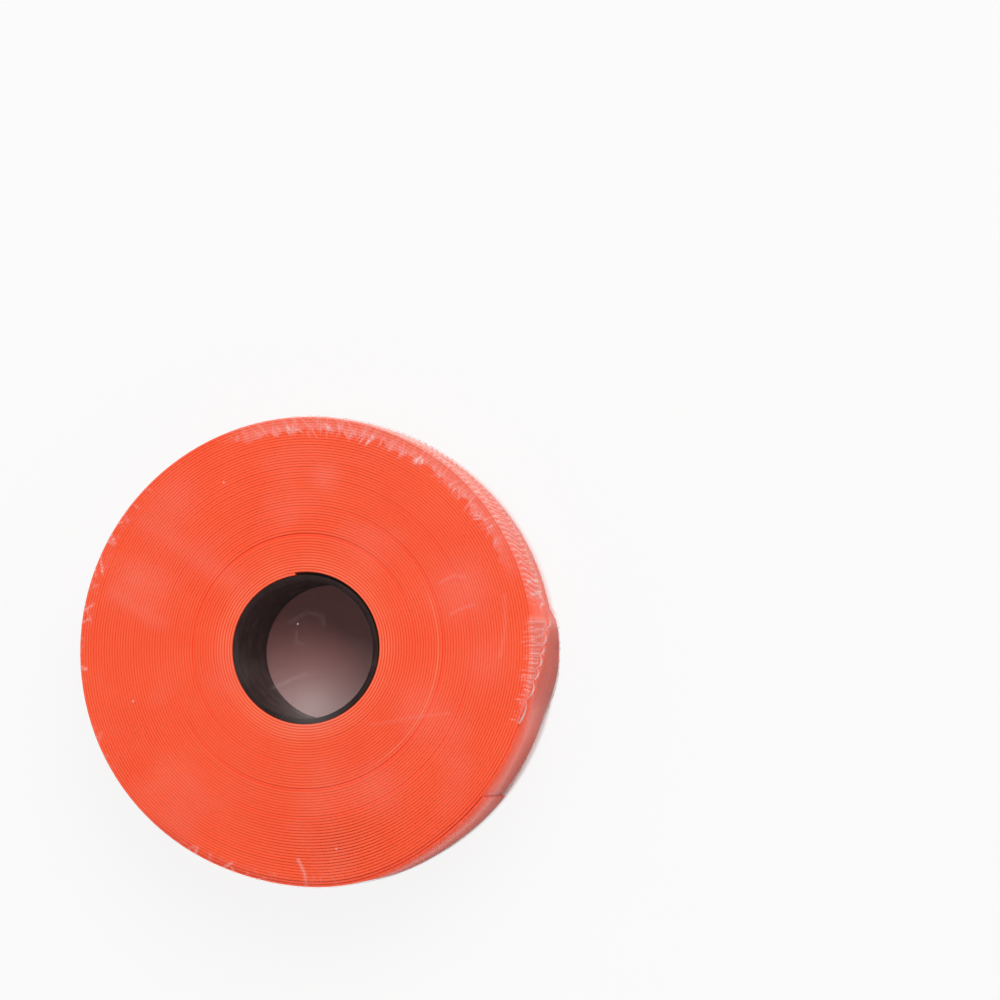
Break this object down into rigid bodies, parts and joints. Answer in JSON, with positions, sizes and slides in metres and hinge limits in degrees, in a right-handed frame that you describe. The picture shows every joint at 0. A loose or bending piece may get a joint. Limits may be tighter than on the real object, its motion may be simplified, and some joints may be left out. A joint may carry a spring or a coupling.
{
  "type": "tourniquet roll",
  "caption": "Roll of flat stretch tourniquet strips, joined at tear lines, wound on a thin plastic core and sealed in clear shrink film.",
  "frame": {"origin": "middle of the underside, on the axis of the core", "axes": "+Z up along the axis of the roll; +X to the right and +Y up as the picture shows the roll's face"},
  "size_m": [0.0977, 0.0973, 0.0255],
  "materials": {
    "strip": "smooth matte elastomer",
    "core": "moulded, satin",
    "film": "clear shrink film"
  },
  "bodies": {
    "wrap_lower": {"wrap_lower": "film"},
    "roll": {"core": "core", "strip_01": "strip", "strip_02": "strip", "strip_03": "strip", "strip_04": "strip", "strip_05": "strip", "strip_06": "strip", "strip_07": "strip", "strip_08": "strip", "strip_09": "strip", "strip_10": "strip", "strip_11": "strip", "strip_12": "strip", "strip_13": "strip", "strip_14": "strip", "strip_15": "strip", "strip_16": "strip", "strip_17": "strip", "strip_18": "strip", "strip_19": "strip", "strip_20": "strip", "strip_21": "strip", "strip_22": "strip", "strip_23": "strip", "strip_24": "strip", "strip_25": "strip"},
    "wrap_upper": {"wrap_upper": "film"}
  },
  "joints": [
    {"name": "roll_lift", "type": "slide", "parent": "wrap_lower", "child": "roll", "axis": [0, 0, 1], "range_m": [0, 0.05]},
    {"name": "wrap_upper_lift", "type": "slide", "parent": "roll", "child": "wrap_upper", "axis": [0, 0, 1], "range_m": [0, 0.08]}
  ]
}
